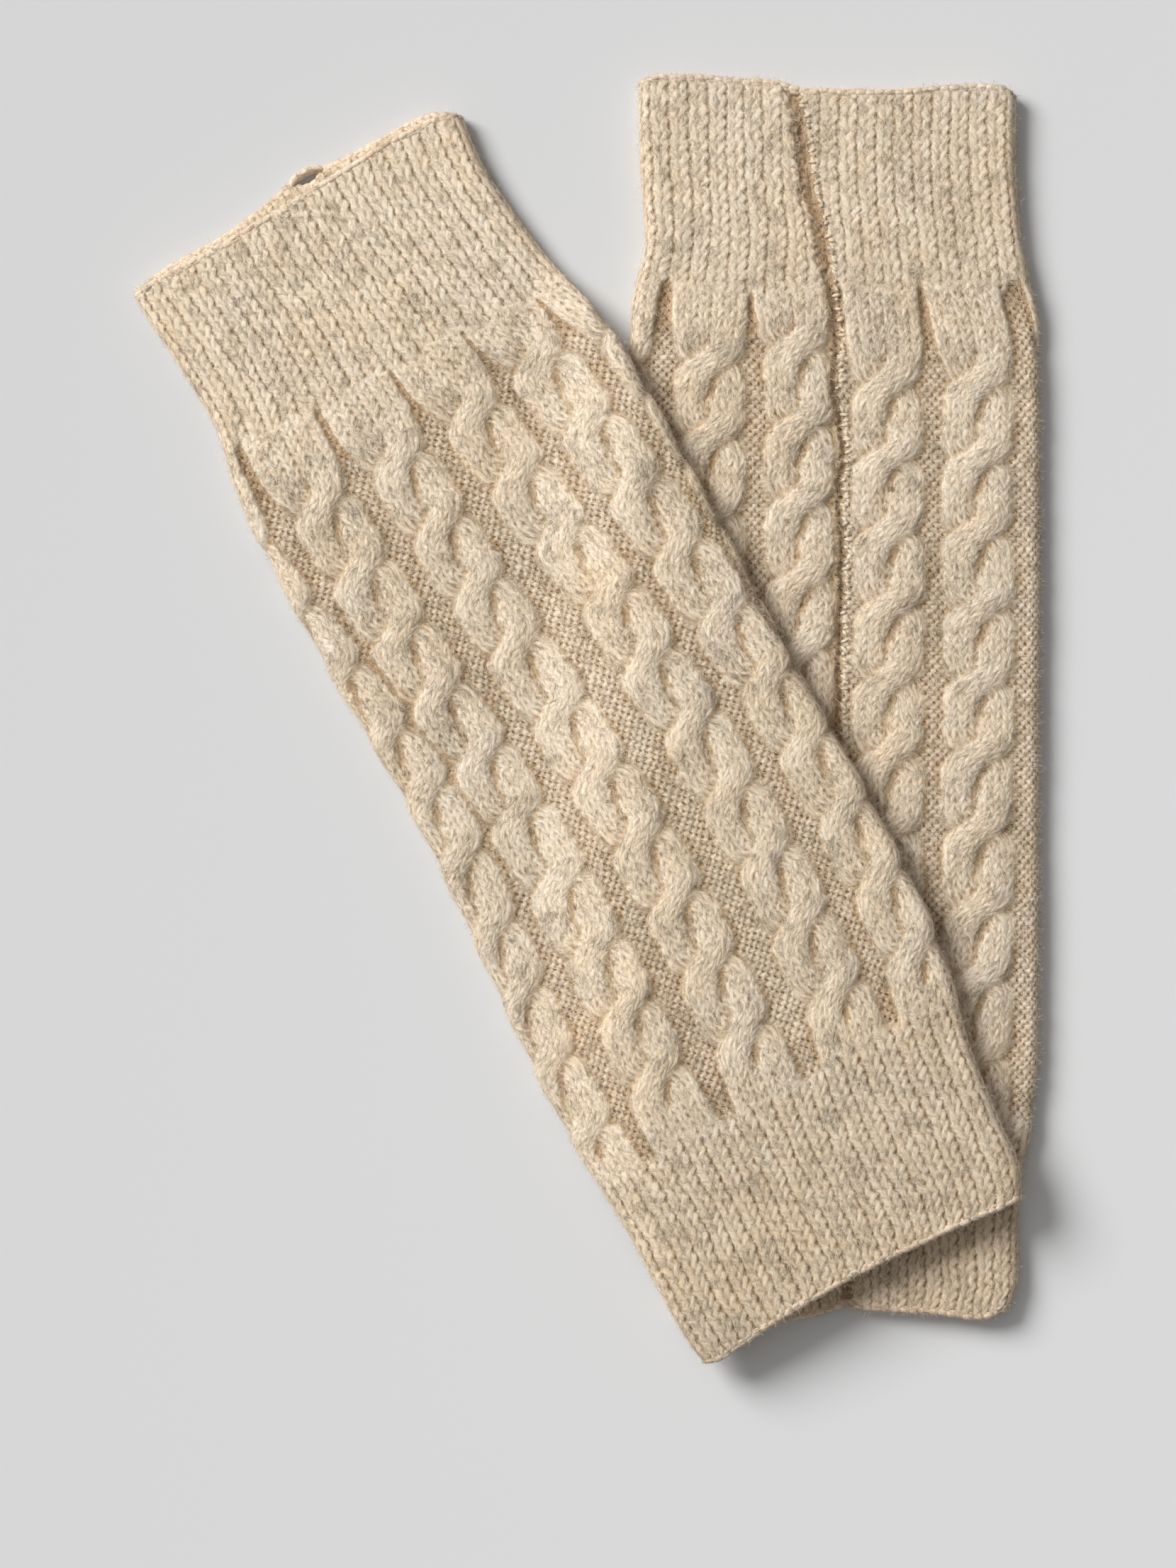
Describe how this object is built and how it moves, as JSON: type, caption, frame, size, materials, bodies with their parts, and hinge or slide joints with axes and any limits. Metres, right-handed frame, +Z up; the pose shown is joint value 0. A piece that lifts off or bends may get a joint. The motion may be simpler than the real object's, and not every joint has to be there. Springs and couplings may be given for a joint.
{
  "type": "pair of knitted leg warmers",
  "caption": "Cable-knit tubes with ribbed cuffs and a back seam, laid flat with one crossed over the other; they cover the lower legs.",
  "frame": {"origin": "middle of the pair's outline, on the surface that it lies on", "axes": "+Z up from the surface; +Y along the lower leg warmer, towards its top cuff; +X across it, towards its right edge as seen from above"},
  "size_m": [0.3019, 0.4267, 0.0219],
  "materials": {
    "cuff_wool": "brushed wool rib",
    "leg_wool": "brushed wool cable knit",
    "seam_wool": "brushed wool selvedge"
  },
  "bodies": {
    "root": {"upper_top_cuff": "cuff_wool", "upper_leg": "leg_wool", "upper_bottom_cuff": "cuff_wool", "upper_back_seam": "seam_wool", "lower_top_cuff": "cuff_wool", "lower_leg": "leg_wool", "lower_bottom_cuff": "cuff_wool", "lower_back_seam": "seam_wool"}
  },
  "joints": []
}
